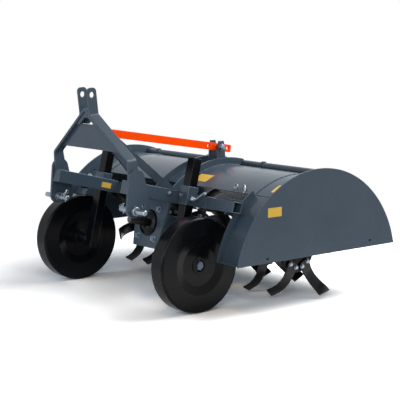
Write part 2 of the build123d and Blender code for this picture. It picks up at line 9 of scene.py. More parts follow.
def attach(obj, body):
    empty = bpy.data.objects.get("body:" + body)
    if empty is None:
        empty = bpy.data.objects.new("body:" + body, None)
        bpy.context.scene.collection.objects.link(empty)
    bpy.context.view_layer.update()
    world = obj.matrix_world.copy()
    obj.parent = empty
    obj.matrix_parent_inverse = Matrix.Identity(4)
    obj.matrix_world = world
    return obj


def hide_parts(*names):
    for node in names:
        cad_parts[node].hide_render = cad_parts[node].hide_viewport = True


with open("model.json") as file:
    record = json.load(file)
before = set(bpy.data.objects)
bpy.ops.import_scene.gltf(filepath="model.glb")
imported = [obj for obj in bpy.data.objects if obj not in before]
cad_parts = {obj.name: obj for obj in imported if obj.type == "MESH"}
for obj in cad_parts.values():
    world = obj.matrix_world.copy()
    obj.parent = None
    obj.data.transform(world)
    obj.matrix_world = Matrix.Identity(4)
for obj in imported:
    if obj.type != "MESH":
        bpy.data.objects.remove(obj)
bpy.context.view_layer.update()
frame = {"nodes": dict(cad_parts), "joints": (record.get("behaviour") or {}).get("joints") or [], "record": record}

scene = bpy.context.scene
nodes = frame["nodes"]
joints = {row["name"]: row for row in frame["joints"]}
mounts = {row["name"]: row for row in frame["record"]["mounts"]}

# ---- camera -------------------------------------------------------------------

AZIMUTH = radians(51.21)             # from the front towards the right side
ELEVATION = radians(8.2)
ROLL = radians(-0.19)
DISTANCE = 5.559
TARGET = Vector((-0.056, 0.083, 0.375))
LENS = 106.96                        # mm
SENSOR = 36


def add_camera():
    back = Vector((sin(AZIMUTH) * cos(ELEVATION), -cos(AZIMUTH) * cos(ELEVATION), sin(ELEVATION)))
    right = Vector((cos(AZIMUTH), sin(AZIMUTH), 0))
    up = back.cross(right)
    rolled_right = right * cos(ROLL) + up * sin(ROLL)
    rolled_up = up * cos(ROLL) - right * sin(ROLL)
    data = bpy.data.cameras.new("camera")
    data.lens = LENS
    data.sensor_width = SENSOR
    camera = bpy.data.objects.new("camera", data)
    rotation = Matrix((rolled_right, rolled_up, back)).transposed()
    camera.matrix_world = Matrix.Translation(TARGET + back * DISTANCE) @ rotation.to_4x4()
    scene.collection.objects.link(camera)
    scene.camera = camera


add_camera()

# ---- lights and surroundings ------------------------------------------------------

FILL = 0.24                     # strength of the world as a light
FILL_COLOUR = (0.90, 0.96, 1.0)
FLOOR_HALF = 30                 # metres
FLOOR_GREY = 0.5                # the floor as it lights the object
FLOOR_WHITE = 1.3               # the floor as it is seen near the object
FLOOR_NEAR = 1.1                # metres, where the fade to white starts
FLOOR_FAR = 1.9                 # and where it ends


def area_light(name, place, aim, size, power, colour=(1, 1, 1)):
    data = bpy.data.lights.new(name, "AREA")
    data.energy = power
    data.color = colour
    data.shape = "RECTANGLE"
    data.size, data.size_y = size
    light = bpy.data.objects.new(name, data)
    light.location = place
    light.rotation_euler = (Vector(aim) - Vector(place)).to_track_quat("-Z", "Y").to_euler()
    scene.collection.objects.link(light)


def seen_rays(tree):
    """1 for rays from the camera and for those that a gloss or a glass sends on."""
    path = tree.nodes.new("ShaderNodeLightPath")
    total = path.outputs["Is Camera Ray"]
    for ray in ("Is Glossy Ray", "Is Transmission Ray"):
        both = tree.nodes.new("ShaderNodeMath")
        both.operation = "MAXIMUM"
        tree.links.new(total, both.inputs[0])
        tree.links.new(path.outputs[ray], both.inputs[1])
        total = both.outputs[0]
    return total


def mixed(tree, fac, first, second):
    mix = tree.nodes.new("ShaderNodeMixShader")
    tree.links.new(fac, mix.inputs[0])
    tree.links.new(first, mix.inputs[1])
    tree.links.new(second, mix.inputs[2])
    return mix.outputs[0]


def glow(tree, kind, colour, strength):
    node = tree.nodes.new(kind)
    node.inputs[0].default_value = (*colour, 1)
    node.inputs[1].default_value = strength
    return node.outputs[0]


def add_world():
    world = bpy.data.worlds.new("studio")
    world.use_nodes = True
    tree = world.node_tree
    tree.nodes.clear()
    out = tree.nodes.new("ShaderNodeOutputWorld")
    seen = glow(tree, "ShaderNodeBackground", (1, 1, 1), 1.0)
    fill = glow(tree, "ShaderNodeBackground", FILL_COLOUR, FILL)
    tree.links.new(mixed(tree, seen_rays(tree), fill, seen), out.inputs[0])
    scene.world = world


def diffuse(tree, value):
    node = tree.nodes.new("ShaderNodeBsdfDiffuse")
    node.inputs[0].default_value = (value, value, value, 1)
    return node.outputs[0]


def add_floor():
    """Pale floor that takes the shadow near the object and fades to plain white round it."""
    mesh = bpy.data.meshes.new("floor")
    corners = [(x * FLOOR_HALF, y * FLOOR_HALF, 0) for x, y in ((-1, -1), (1, -1), (1, 1), (-1, 1))]
    mesh.from_pydata(corners, [], [(0, 1, 2, 3)])
    floor = bpy.data.objects.new("floor", mesh)
    scene.collection.objects.link(floor)
    mat = bpy.data.materials.new("floor")
    mat.use_nodes = True
    tree = mat.node_tree
    tree.nodes.clear()
    out = tree.nodes.new("ShaderNodeOutputMaterial")
    place = tree.nodes.new("ShaderNodeTexCoord")
    reach = tree.nodes.new("ShaderNodeVectorMath")
    reach.operation = "LENGTH"
    tree.links.new(place.outputs["Object"], reach.inputs[0])
    far = ramp(tree, reach.outputs["Value"], FLOOR_NEAR, FLOOR_FAR, 0.0, 1.0)
    white = glow(tree, "ShaderNodeEmission", (1, 1, 1), 1.0)
    shown = mixed(tree, far, diffuse(tree, FLOOR_WHITE), white)
    tree.links.new(mixed(tree, seen_rays(tree), diffuse(tree, FLOOR_GREY), shown), out.inputs[0])
    mesh.materials.append(mat)



# ---- materials -------------------------------------------------------------------


def new_material(name):
    mat = bpy.data.materials.new(name)
    mat.use_nodes = True
    tree = mat.node_tree
    return mat, tree, tree.nodes["Principled BSDF"]


def noise(tree, scale, detail=3.0, rough=0.5):
    place = tree.nodes.new("ShaderNodeTexCoord")
    tex = tree.nodes.new("ShaderNodeTexNoise")
    tex.inputs["Scale"].default_value = scale
    tex.inputs["Detail"].default_value = detail
    tex.inputs["Roughness"].default_value = rough
    tree.links.new(place.outputs["Object"], tex.inputs["Vector"])
    return tex.outputs["Fac"]


def ramp(tree, value, low, high, a, b):
    node = tree.nodes.new("ShaderNodeMapRange")
    node.inputs["From Min"].default_value = low
    node.inputs["From Max"].default_value = high
    node.inputs["To Min"].default_value = a
    node.inputs["To Max"].default_value = b
    tree.links.new(value, node.inputs["Value"])
    return node.outputs[0]


def mix_colour(tree, fac, a, b):
    node = tree.nodes.new("ShaderNodeMix")
    node.data_type = "RGBA"
    for socket, value in ((node.inputs[6], a), (node.inputs[7], b)):
        if isinstance(value, tuple):
            socket.default_value = (*value, 1)
        else:
            tree.links.new(value, socket)
    tree.links.new(fac, node.inputs[0])
    return node.outputs[2]


def scaled(colour, factor):
    return tuple(min(1.0, c * factor) for c in colour)


def soft_edges(tree, radius):
    """(normal rounded at the edges, mask that is 1 on the edges themselves)"""
    bevel = tree.nodes.new("ShaderNodeBevel")
    bevel.samples = 8
    bevel.inputs["Radius"].default_value = radius
    flat = tree.nodes.new("ShaderNodeNewGeometry")
    dot = tree.nodes.new("ShaderNodeVectorMath")
    dot.operation = "DOT_PRODUCT"
    tree.links.new(bevel.outputs[0], dot.inputs[0])
    tree.links.new(flat.outputs["Normal"], dot.inputs[1])
    return bevel.outputs[0], ramp(tree, dot.outputs["Value"], 0.985, 0.88, 0.0, 1.0)


def bumped(tree, height, normal, strength, distance):
    bump = tree.nodes.new("ShaderNodeBump")
    bump.inputs["Strength"].default_value = strength
    bump.inputs["Distance"].default_value = distance
    tree.links.new(height, bump.inputs["Height"])
    tree.links.new(normal, bump.inputs["Normal"])
    return bump.outputs[0]


def paint(name, colour, rough, gloss, edge=0.0016, wear_and_highlight=0.35, worn_and_highlit=None):
    """Sprayed gloss paint: fine orange peel, faint clouding, and paler along the edges, partly worn thin and
    partly a painted highlight on the edge lines.
    """
    mat, tree, bsdf = new_material(name)
    cloud = ramp(tree, noise(tree, 7, 4), 0.3, 0.7, 0.0, 1.0)
    base = mix_colour(tree, cloud, scaled(colour, 0.94), scaled(colour, 1.06))
    normal, edges = soft_edges(tree, edge)
    broken = ramp(tree, noise(tree, 55, 4, 0.6), 0.36, 0.6, 0.25, 1.0)
    fade = tree.nodes.new("ShaderNodeMath")
    fade.operation = "MULTIPLY"
    tree.links.new(edges, fade.inputs[0])
    tree.links.new(broken, fade.inputs[1])
    # Paler colour on the edges: partly worn paint, partly a painted highlight that stands in for the bright edge
    # lines.
    thin = ramp(tree, fade.outputs[0], 0.0, 1.0, 0.0, wear_and_highlight)
    base = mix_colour(tree, thin, base, worn_and_highlit or scaled(colour, 3.0))
    tree.links.new(base, bsdf.inputs["Base Color"])
    smudge = ramp(tree, noise(tree, 18, 5, 0.6), 0.3, 0.75, rough - 0.03, rough + 0.06)
    tree.links.new(smudge, bsdf.inputs["Roughness"])
    tree.links.new(bumped(tree, noise(tree, 260, 2), normal, 0.03, 0.0003), bsdf.inputs["Normal"])
    bsdf.inputs["Specular IOR Level"].default_value = gloss
    return mat


def metal(name, tint, rough, edge=0.0008):
    """Plated or bright steel with a fine cloudy grain."""
    mat, tree, bsdf = new_material(name)
    cloud = ramp(tree, noise(tree, 60, 4), 0.3, 0.7, 0.0, 1.0)
    base = mix_colour(tree, cloud, scaled(tint, 0.82), scaled(tint, 1.1))
    tree.links.new(base, bsdf.inputs["Base Color"])
    bsdf.inputs["Metallic"].default_value = 1.0
    grain = ramp(tree, noise(tree, 160, 3), 0.3, 0.7, rough - 0.08, rough + 0.1)
    tree.links.new(grain, bsdf.inputs["Roughness"])
    normal, _ = soft_edges(tree, edge)
    tree.links.new(bumped(tree, noise(tree, 500, 2), normal, 0.08, 0.0003), bsdf.inputs["Normal"])
    return mat


def label(name, colour):
    """Laminated film: even colour, slightly scuffed, with a darker cut edge."""
    mat, tree, bsdf = new_material(name)
    scuff = ramp(tree, noise(tree, 90, 4, 0.6), 0.45, 0.75, 0.0, 0.35)
    base = mix_colour(tree, scuff, colour, scaled(colour, 0.7))
    normal, edges = soft_edges(tree, 0.0012)
    base = mix_colour(tree, edges, base, scaled(colour, 0.3))
    tree.links.new(base, bsdf.inputs["Base Color"])
    tree.links.new(ramp(tree, scuff, 0.0, 0.35, 0.3, 0.5), bsdf.inputs["Roughness"])
    tree.links.new(normal, bsdf.inputs["Normal"])
    bsdf.inputs["Specular IOR Level"].default_value = 0.4
    return mat


BLUE_GREY = (0.040, 0.061, 0.085)
BLACK = (0.0030, 0.0033, 0.0042)

# The pale edge colours given below are partly worn paint and partly a painted highlight on the edges.
MATS = {
    "blue_grey_paint": paint("blue_grey_paint", BLUE_GREY, 0.24, 0.24),
    "black_paint": paint("black_paint", BLACK, 0.2, 0.10, wear_and_highlight=0.4,
                         worn_and_highlit=(0.04, 0.05, 0.07)),
    "tine_steel": paint("tine_steel", (0.0045, 0.0045, 0.0050), 0.3, 0.22, wear_and_highlight=0.4,
                        worn_and_highlit=(0.04, 0.04, 0.045)),
    "orange_paint": paint("orange_paint", (0.98, 0.068, 0.0), 0.34, 0.08, wear_and_highlight=0.2,
                          worn_and_highlit=(1.0, 0.12, 0.01)),
    "zinc": metal("zinc", (0.24, 0.28, 0.33), 0.34),
    "bare_steel": metal("bare_steel", (0.075, 0.075, 0.072), 0.36),
    "label_yellow": label("label_yellow", (0.60, 0.38, 0.045)),
}
ROUND_TUBE = ("arm", "sleeve", "main_beam", "beam_ends")     # ends of the names of drawn tubes
TUBE_PAINT = paint("tube_paint", BLUE_GREY, 0.24, 0.24, edge=0.005)
# On the posts the pale worn edges are a painted highlight: the bright line along the post's corner.
POST_PAINT = paint("post_paint", BLACK, 0.2, 0.10, edge=0.004, wear_and_highlight=0.4,
                   worn_and_highlit=(0.05, 0.06, 0.08))
DULL_ZINC = metal("dull_zinc", (0.07, 0.085, 0.115), 0.3)
slots = {row["node"]: row["material_slot"] for row in frame["record"]["subparts"]}
for name, obj in nodes.items():
    if not obj.material_slots:
        obj.data.materials.append(None)
    for slot in obj.material_slots:
        slot.material = MATS[slots[name]]
        if name.endswith("_axle"):
            slot.material = DULL_ZINC
        elif name.endswith("_post"):
            slot.material = POST_PAINT
        elif name.endswith(ROUND_TUBE):
            slot.material = TUBE_PAINT

scene.view_settings.view_transform = "Standard"
add_world()
add_floor()
# name, place, aim, size, watts, colour
area_light("overhead", (0.9, 2.0, 2.7), (0, -0.1, 0.2), (3.0, 2.2), 190)
area_light("front", (3.0, -2.6, 1.8), (0, 0, 0.4), (1.6, 1.6), 50, (0.96, 0.98, 1.0))
area_light("window", (-1.5, -3.7, 1.2), (0, 0, 0.35), (1.6, 1.6), 55, (0.70, 0.85, 1.0))
area_light("warm", (1.3, -1.6, 2.9), (0.4, -0.3, 0.2), (0.5, 0.5), 14, (1.0, 0.72, 0.48))

# ---- frames and shapes ---------------------------------------------------------------

MM = 0.001
# proportions of screws, as parts of the thread's diameter unless they say otherwise
HEX_FLATS = 1.58
HEAD_HEIGHT, NUT_HEIGHT, SOCKET_RADIUS = 0.6, 0.8, 0.78
WASHER_BORE, WASHER_RADIUS, SOCKET_WASHER, WASHER_T = 0.52, 1.05, 1.12, 0.16
CROWN = 0.95                    # top circle of a head, as part of half its flats
CHAMFER_SLOPE = 0.58
BORE_CHAMFER = 0.12             # as part of the bore
THREAD_DEPTH = 0.9              # mm
THREAD_TIP = 1.2                # mm
X_AXIS = Vector((1, 0, 0))
AXLE = Vector((0, *joints["right_wheel_spin"]["pos_m"][1:]))
REARWARD = Vector(joints["drive_shaft_spin"]["axis"])     # along the drive line
UPWARD = Vector(joints["right_leg_slide"]["axis"])        # along the wheel posts
ROTOR = Vector(joints["rotor_spin"]["pos_m"])
SIDES = (("left", -1), ("right", 1))


def at(x, y, z):
    """Point of the upright frame, from millimetres."""
    return Vector((x, y, z)) * MM


def tilted(x, y, z):
    """Point of the frame along the drive line and the posts, from the axle, in millimetres."""
    return AXLE + X_AXIS * x * MM + REARWARD * y * MM + UPWARD * z * MM


def facing(origin, axis, side=None, turn=0):
    """Matrix that stands a shape on a surface: its Z along axis, its X towards side."""
    z = Vector(axis).normalized()
    x = Vector(side) if side is not None else z.orthogonal()
    x = (x - z * x.dot(z)).normalized()
    y = z.cross(x)
    rotation = Matrix((x, y, z)).transposed().to_4x4()
    return Matrix.Translation(origin) @ rotation @ Matrix.Rotation(radians(turn), 4, "Z")


def turned(profile, sides=28):
    """Closed body of revolution about Z from (radius, height) points in millimetres."""
    verts, faces, rings = [], [], []
    for radius, height in profile:
        if radius < 1e-6:
            rings.append([len(verts)])
            verts.append((0, 0, height * MM))
            continue
        rings.append(list(range(len(verts), len(verts) + sides)))
        for i in range(sides):
            a = 2 * pi * i / sides
            verts.append((radius * cos(a) * MM, radius * sin(a) * MM, height * MM))
    for low, high in zip(rings, rings[1:] + ([] if len(rings[0]) == 1 else rings[:1])):
        for i in range(sides):
            j = (i + 1) % sides
            if len(low) == 1 and len(high) == 1:
                continue
            if len(low) == 1:
                faces.append((low[0], high[j], high[i]))
            elif len(high) == 1:
                faces.append((low[i], low[j], high[0]))
            else:
                faces.append((low[i], low[j], high[j], high[i]))
    return verts, faces


def hexagon(flats, height, bore=0, sides=48):
    """Hexagon head or nut on Z = 0, its top corners chamfered; a bore makes it a nut."""
    verts, faces = [], []
    half = flats / 2
    crown = half * CROWN
    rings = []
    for level in range(3):
        ring = []
        for i in range(sides):
            a = 2 * pi * i / sides
            corner = half / cos((a % (pi / 3)) - pi / 6)
            radius = crown if level == 2 else corner
            drop = 0 if level == 2 else (corner - crown) * CHAMFER_SLOPE
            z = 0 if level == 0 else height - drop
            ring.append(len(verts))
            verts.append((radius * cos(a) * MM, radius * sin(a) * MM, z * MM))
        rings.append(ring)
    inner = []
    for z in ((height - bore * BORE_CHAMFER, 0) if bore else ()):
        ring = []
        for i in range(sides):
            a = 2 * pi * i / sides
            ring.append(len(verts))
            verts.append((bore * cos(a) * MM, bore * sin(a) * MM, z * MM))
        inner.append(ring)
    loops = rings + inner
    if bore:
        loops.append(rings[0])
    for low, high in zip(loops, loops[1:]):
        for i in range(sides):
            j = (i + 1) % sides
            faces.append((low[i], low[j], high[j], high[i]))
    if not bore:
        faces.append(tuple(rings[0][::-1]))
        faces.append(tuple(rings[2]))
    return verts, faces


def washer(inner, outer, thick):
    """Ring on Z = 0 with broken edges."""
    edge = min(0.4, thick / 3)
    return turned([(inner, 0), (outer - edge, 0), (outer, edge), (outer, thick - edge),
                   (outer - edge, thick), (inner, thick)])


def thread(radius, length, pitch=1.75):
    """Threaded end with ridges, from Z = 0 up, its tip chamfered."""
    points = [(0, 0), (radius, 0)]
    turns = max(1, int(length / pitch) - 1)
    for i in range(turns):
        points += [(radius - THREAD_DEPTH, (i + 0.5) * pitch), (radius, (i + 1) * pitch)]
    points += [(radius, length - THREAD_TIP), (radius - THREAD_TIP, length), (0, length)]
    return turned(points, 20)


def moved(shape, matrix):
    verts, faces = shape
    return [tuple(matrix @ Vector(v)) for v in verts], faces


def lifted(shape, height):
    return moved(shape, Matrix.Translation((0, 0, height * MM)))


def joined(shapes):
    """Several shapes as one list of points and faces."""
    verts, faces = [], []
    for part_verts, part_faces in shapes:
        start = len(verts)
        verts += part_verts
        faces += [tuple(start + i for i in face) for face in part_faces]
    return verts, faces


def plain_washer(size, radius=WASHER_RADIUS):
    return washer(size * WASHER_BORE, size * radius, size * WASHER_T)


def bolt_head(size):
    """Washer and hexagon head of a metric bolt."""
    return joined([plain_washer(size),
                   lifted(hexagon(size * HEX_FLATS, size * HEAD_HEIGHT), size * WASHER_T)])


def bolt_nut(size, proud=4):
    """Washer, nut and the end of the bolt's thread."""
    nut = hexagon(size * HEX_FLATS, size * NUT_HEIGHT, size / 2)
    return joined([plain_washer(size), lifted(nut, size * WASHER_T),
                   thread(size * 0.49, size * (NUT_HEIGHT + WASHER_T) + proud)])


def socket_head(size):
    """Washer and socket cap screw with an open round recess."""
    r = size * SOCKET_RADIUS
    cap = turned([(r, 0), (r, size - 1), (r - 1, size), (size * 0.5, size),
                  (size * 0.44, size - 1), (size * 0.44, size * 0.45), (0, size * 0.45),
                  (0, 0)], 36)
    return joined([plain_washer(size, SOCKET_WASHER), lifted(cap, size * WASHER_T)])


def frames_along(points, closed=False):
    """Frames that turn as little as they can along a line of points."""
    points = [Vector(p) for p in points]
    count = len(points)
    tangents = []
    for i in range(count):
        before = points[i - 1] if i or closed else points[0]
        after = points[(i + 1) % count] if i < count - 1 or closed else points[-1]
        tangents.append((after - before).normalized())
    normal = tangents[0].orthogonal().normalized()
    rows = []
    for point, tangent in zip(points, tangents):
        normal = (normal - tangent * normal.dot(tangent)).normalized()
        rows.append((point, normal, tangent.cross(normal)))
    return rows


def tube(points, radius, sides=12, ripple=0.0, step=0.0, closed=False):
    """Round bar along points in metres; a ripple swells it every step, as a weld's beads do."""
    if step:
        points = divided(points, step / 4 * MM, closed)
    rows = frames_along(points, closed)
    verts, faces = [], []
    for k, (point, a, b) in enumerate(rows):
        r = radius * MM * (1 + ripple * sin(k * pi / 2))
        for i in range(sides):
            t = 2 * pi * i / sides
            verts.append(tuple(point + (a * cos(t) + b * sin(t)) * r))
    last = len(rows) if closed else len(rows) - 1
    for k in range(last):
        for i in range(sides):
            j = (i + 1) % sides
            low, high = k * sides, (k + 1) % len(rows) * sides
            faces.append((low + i, low + j, high + j, high + i))
    if not closed:
        faces.append(tuple(range(sides))[::-1])
        faces.append(tuple((len(rows) - 1) * sides + i for i in range(sides)))
    return verts, faces


def divided(points, step, closed=False):
    """The line's points with more between them, no further apart than the step."""
    points = [Vector(p) for p in points]
    ends = points[1:] + (points[:1] if closed else [])
    result = []
    for start, end in zip(points, ends):
        pieces = max(1, ceil((end - start).length / step))
        result += [start.lerp(end, i / pieces) for i in range(pieces)]
    return result if closed else result + [points[-1]]


def slab(outline, thick, edge=0.0):
    """Plate from a flat outline of (x, y) millimetres, on Z = 0, its top edge bevelled."""
    count = len(outline)
    cx = sum(p[0] for p in outline) / count
    cy = sum(p[1] for p in outline) / count
    verts = []
    for inset, z in ((0, 0), (0, thick - edge), (edge, thick)):
        for x, y in outline:
            reach = hypot(x - cx, y - cy)
            k = 1 - inset / reach
            verts.append(((cx + (x - cx) * k) * MM, (cy + (y - cy) * k) * MM, z * MM))
    faces = [tuple(range(count))[::-1], tuple(2 * count + i for i in range(count))]
    for row in range(2):
        for i in range(count):
            j = (i + 1) % count
            a, b = row * count, (row + 1) * count
            faces.append((a + i, a + j, b + j, b + i))
    return verts, faces


def rounded(width, height, radius, arc=5):
    """Outline of a rectangle with round corners, about its middle."""
    outline = []
    for sx, sy, start in ((1, 1, 0), (-1, 1, 90), (-1, -1, 180), (1, -1, 270)):
        for i in range(arc + 1):
            a = radians(start + 90 * i / arc)
            outline.append((sx * (width / 2 - radius) + radius * cos(a),
                            sy * (height / 2 - radius) + radius * sin(a)))
    return outline


def piece(name, slot, body, shapes, sharp=32):
    """One object from shapes in the row frame, with its finish and the body it rides on."""
    verts, faces = joined(shapes)
    mesh = bpy.data.meshes.new(name)
    mesh.from_pydata(verts, [], faces)
    clean = bmesh.new()
    clean.from_mesh(mesh)
    bmesh.ops.recalc_face_normals(clean, faces=clean.faces)
    clean.to_mesh(mesh)
    clean.free()
    mesh.polygons.foreach_set("use_smooth", [True] * len(mesh.polygons))
    mesh.set_sharp_from_angle(angle=radians(sharp))
    mesh.materials.append(MATS[slot])
    obj = bpy.data.objects.new(name, mesh)
    scene.collection.objects.link(obj)
    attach(obj, body)
    return obj

# ---- gearbox plate, sleeves and beam ------------------------------------------------------

DRIVE_Z = (Vector(joints["drive_shaft_spin"]["pos_m"]) - AXLE).dot(UPWARD) / MM
PLATE_FRONT = 64
PLATE_NUTS_Y = 94.5             # back of the gearbox's flange, where the nuts sit
PLATE_SCREWS = ((58, 66), (58, -67), (-58, 66), (-58, -67))     # x, height from the drive line

heads = [moved(socket_head(12), facing(tilted(x, PLATE_FRONT, DRIVE_Z + z), -REARWARD))
         for x, z in PLATE_SCREWS]
heads += [moved(bolt_nut(12, 5), facing(tilted(x, PLATE_NUTS_Y, DRIVE_Z + z), REARWARD))
          for x, z in PLATE_SCREWS]
piece("gearbox_plate_screws", "zinc", "frame", heads)

POST_X = 319
SLEEVE_FACE = 347
SLEEVE_FRONT = -25
ARM_FACE = 286
BEAM_LOW = 237
BEAM_FRONT = 25
CLAMP_Y, CLAMP_Z = -4, 264      # screw of the post clamp
CLAMP_HEX = (22, 11, 8)         # across flats, height, bore
LEVER = ((24, 0), (30, 2), (80, 35), (87, 31))      # out from the sleeve, up from the screw
LEVER_R = 4.2
KNOB = ((0, -7), (4, -6), (6.5, -3), (7, 0), (6.5, 3), (4, 6), (0, 7))
SLEEVE_SCREWS = ((297, 274, 8), (309, 276, 5))      # x, z, size, on the sleeve's front
ARM_SCREWS = ((-75, 272), (-215, 258))              # y, z, on the arm's outer face
ARM_SCREW = 9
BEAM_SCREWS = ((-178, 265), (-158, 274), (178, 265))    # x, z, on the beam's front

for name, side in SIDES:
    out = X_AXIS * side
    seat = facing(tilted(side * SLEEVE_FACE, CLAMP_Y, CLAMP_Z), out)
    lever = [tilted(side * (SLEEVE_FACE + x), CLAMP_Y, CLAMP_Z + z) for x, z in LEVER]
    parts = [
        moved(hexagon(*CLAMP_HEX), seat),
        moved(thread(7.9, 24, 2.0), seat),
        tube(lever, LEVER_R, 12),
        moved(turned(KNOB, 20), facing(lever[-1], out)),
    ]
    piece(f"{name}_clamp_screw", "zinc", "frame", parts)
    parts = []
    for x, z, size in SLEEVE_SCREWS:
        spot = tilted(side * x, SLEEVE_FRONT, z)
        parts.append(moved(bolt_head(size), facing(spot, -REARWARD)))
    for y, z in ARM_SCREWS:
        parts.append(moved(bolt_head(ARM_SCREW), facing(tilted(side * ARM_FACE, y, z), out)))
    under = tilted(side * (SLEEVE_FACE + 2), 38, BEAM_LOW)
    parts.append(moved(bolt_head(ARM_SCREW), facing(under, -UPWARD)))
    piece(f"{name}_sleeve_bolts", "zinc", "frame", parts)

piece("beam_bolts", "zinc", "frame",
      [moved(bolt_head(ARM_SCREW), facing(tilted(x, BEAM_FRONT, z), -REARWARD))
       for x, z in BEAM_SCREWS])

# ---- hitch pins, brace pins -------------------------------------------------------------------

PIN = Vector(mounts["right_lower_link_pin"]["pos_m"])
PIN_Y, PIN_Z = PIN.y / MM, PIN.z / MM
LINCH_X = 224
COLLAR_X = 307                  # outside of the hitch plate and its boss
COLLAR = ((11.05, 0), (17, 0), (18.5, 1.5), (18.5, 10), (17, 11.5), (11.05, 11.5))
SHANK = ((0, -36), (2.6, -35), (3, -32), (3, 0), (5, 1), (5, 7), (4, 8.5), (0, 8.5))
SHANK_TOP = 17                  # above the hitch pin's middle
RING_STEPS = 24


def linch_pin(x):
    """Pin through a bar along X, with its spring ring folded down in front of the bar."""
    top = at(x, PIN_Y, PIN_Z + SHANK_TOP)
    shank = moved(turned(SHANK, 16), facing(top, (0, 0, 1)))
    ring = []
    for i in range(RING_STEPS + 1):
        a = radians(20 + 320 * i / RING_STEPS)
        ring.append(at(x + 11 * sin(a), PIN_Y - 12.5 - 1.5 * cos(a), PIN_Z + 8 + 12 * cos(a)))
    ring = [at(x + 4, PIN_Y - 8, PIN_Z + 22)] + ring + [at(x - 4, PIN_Y - 8, PIN_Z + 22)]
    return joined([shank, tube(ring, 1.3, 8)])


for name, side in SIDES:
    face = at(side * COLLAR_X, PIN_Y, PIN_Z)
    piece(f"{name}_pin_collar", "zinc", "frame",
          [moved(turned(COLLAR, 32), facing(face, X_AXIS * side)), linch_pin(side * LINCH_X)])

BRACE_REAR = (139, 625)         # y, z
BRACE_FRONT = (-530, 735)
LUG_OUT = 34
CLEVIS_OUT = 16
BRACE_SCREW = 16
parts = [moved(bolt_head(BRACE_SCREW), facing(at(LUG_OUT, *BRACE_REAR), X_AXIS)),
         moved(bolt_nut(BRACE_SCREW, 6), facing(at(-LUG_OUT, *BRACE_REAR), -X_AXIS)),
         moved(bolt_head(BRACE_SCREW), facing(at(CLEVIS_OUT, *BRACE_FRONT), X_AXIS)),
         moved(bolt_nut(BRACE_SCREW, 4), facing(at(-CLEVIS_OUT, *BRACE_FRONT), -X_AXIS))]
piece("brace_bolts", "zinc", "frame", parts)

# ---- rotor: blades and their bolts -----------------------------------------------------------

TINE_COUNT = 6
BOLT_RING = 70
FLANGE_T = 10
TINE_T = 8
ROTOR_FLANGES = (                   # name, x of the flange, angle of its first tine from down
    ("tines_1", 545, 31.10), ("tines_2", 345, 44.01), ("tines_3", 145, 37.55),
    ("tines_4", -145, 37.55), ("tines_5", -345, 31.10), ("tines_6", -545, 44.01))
TINE_SCREW = 10
SCREW_STEP = 15                 # degrees, each side of the blade's line
BLADE_BEND = radians(50)
BLADE_RADIUS = 108
BEND_START = 108
BLADE_ROWS = (                      # distance along the blade, trailing edge, leading edge
    (54, -17, 17), (57, -26, 26), (62, -31, 31), (70, -32, 32), (78, -29, 30), (88, -25, 26),
    (104, -24, 24), (125, -24, 24), (150, -25, 24), (175, -27, 24), (200, -31, 22),
    (212, -34, 20), (226, -38, 17))
BLADE_SKEW = 16                     # how much longer the blade is at its leading edge
GRIND_START, GRIND_LENGTH = 100, 40
BLADE_SECTION = (                   # place from trailing to leading edge, part of the thickness
    (0.0, 0.5), (0.14, 1.0), (0.5, 1.0), (0.86, 1.0), (1.0, 0.12))
ROW_STEP = 6


def blade_line(s):
    """(x, radius, direction angle) of the blade's middle at a distance along it."""
    if s <= BEND_START:
        return 0.0, s, 0.0
    angle = min((s - BEND_START) / BLADE_RADIUS, BLADE_BEND)
    x = BLADE_RADIUS * (1 - cos(angle))
    r = BEND_START + BLADE_RADIUS * sin(angle)
    rest = s - BEND_START - BLADE_RADIUS * angle
    return x + rest * sin(angle), r + rest * cos(angle), angle


def blade(bend):
    """One forged blade along -Z, bent towards +X or -X, its leading edge ground thin."""
    verts, faces = [], []
    rows = []
    for (s0, t0, l0), (s1, t1, l1) in zip(BLADE_ROWS, BLADE_ROWS[1:]):
        pieces = max(1, round((s1 - s0) / ROW_STEP))
        rows += [(s0 + (s1 - s0) * i / pieces, t0 + (t1 - t0) * i / pieces,
                  l0 + (l1 - l0) * i / pieces) for i in range(pieces)]
    rows.append(BLADE_ROWS[-1])
    last = rows[-1][0]
    for s, trail, lead in rows:
        grind = min(1.0, max(0.0, (s - GRIND_START) / GRIND_LENGTH))
        for sign in (1, -1):
            for u, thick in BLADE_SECTION:
                skew = BLADE_SKEW * u * max(0.0, (s - BEND_START) / (last - BEND_START))
                x, r, angle = blade_line(s + skew)
                half = TINE_T / 2 * (1 + (thick - 1) * grind) * sign
                y = trail + (lead - trail) * u
                verts.append((bend * (x + half * cos(angle)) * MM, y * MM,
                              -(r - half * sin(angle)) * MM))
    n = len(BLADE_SECTION)
    for k in range(len(rows) - 1):
        a, b = k * 2 * n, (k + 1) * 2 * n
        for i in range(n - 1):
            faces.append((a + i, a + i + 1, b + i + 1, b + i))
            faces.append((a + n + i, b + n + i, b + n + i + 1, a + n + i + 1))
        faces.append((a, b, b + n, a + n))
        faces.append((a + n - 1, a + 2 * n - 1, b + 2 * n - 1, b + n - 1))
    for a in (0, (len(rows) - 1) * 2 * n):
        for i in range(n - 1):
            faces.append((a + i, a + n + i, a + n + i + 1, a + i + 1))
    return verts, faces


def on_rotor(x, turn):
    """Matrix for a shape built on the rotor's axis, hanging down, then turned by degrees."""
    return Matrix.Translation(ROTOR + X_AXIS * x * MM) @ Matrix.Rotation(radians(turn), 4, "X")


